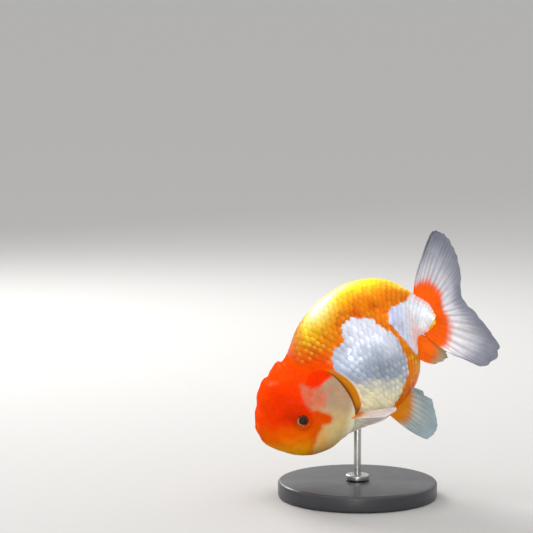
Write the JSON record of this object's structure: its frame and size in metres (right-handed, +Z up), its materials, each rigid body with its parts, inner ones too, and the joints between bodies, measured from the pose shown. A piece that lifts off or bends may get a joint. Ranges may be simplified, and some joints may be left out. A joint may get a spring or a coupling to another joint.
{
  "type": "ranchu goldfish display model",
  "caption": "Life-size still model of a ranchu goldfish: hooded red head, deep scaled body with no back fin and a forked fan tail, swimming nose-down on a plain round stand.",
  "frame": {"origin": "the middle of the stand base's underside, on the surface that the stand rests on", "axes": "+Z up; -X the way the snout points; -Y the fish's left side; the fish's plane of symmetry is Y = 0"},
  "size_m": [0.1289, 0.088, 0.1465],
  "materials": {
    "skin": "moist satin, vivid orange-red with pale gill covers",
    "scales": "glossy scales, orange with pearl-white and lavender patches",
    "fin": "thin translucent membrane with fine rays, orange at the roots",
    "eye": "clear gloss over a black pupil and a thin pale iris",
    "stand_paint": "dark satin",
    "stand_steel": "brushed"
  },
  "bodies": {
    "root": {"head": "skin", "trunk": "scales", "peduncle": "scales", "eye_left": "eye", "eye_right": "eye", "tail_fin_left": "fin", "tail_fin_right": "fin", "anal_fin_left": "fin", "anal_fin_right": "fin", "pelvic_fin_left": "fin", "pelvic_fin_right": "fin", "pectoral_fin_left": "fin", "pectoral_fin_right": "fin", "stand_base": "stand_paint", "stand_collar": "stand_steel", "stand_rod": "stand_steel"}
  },
  "joints": []
}
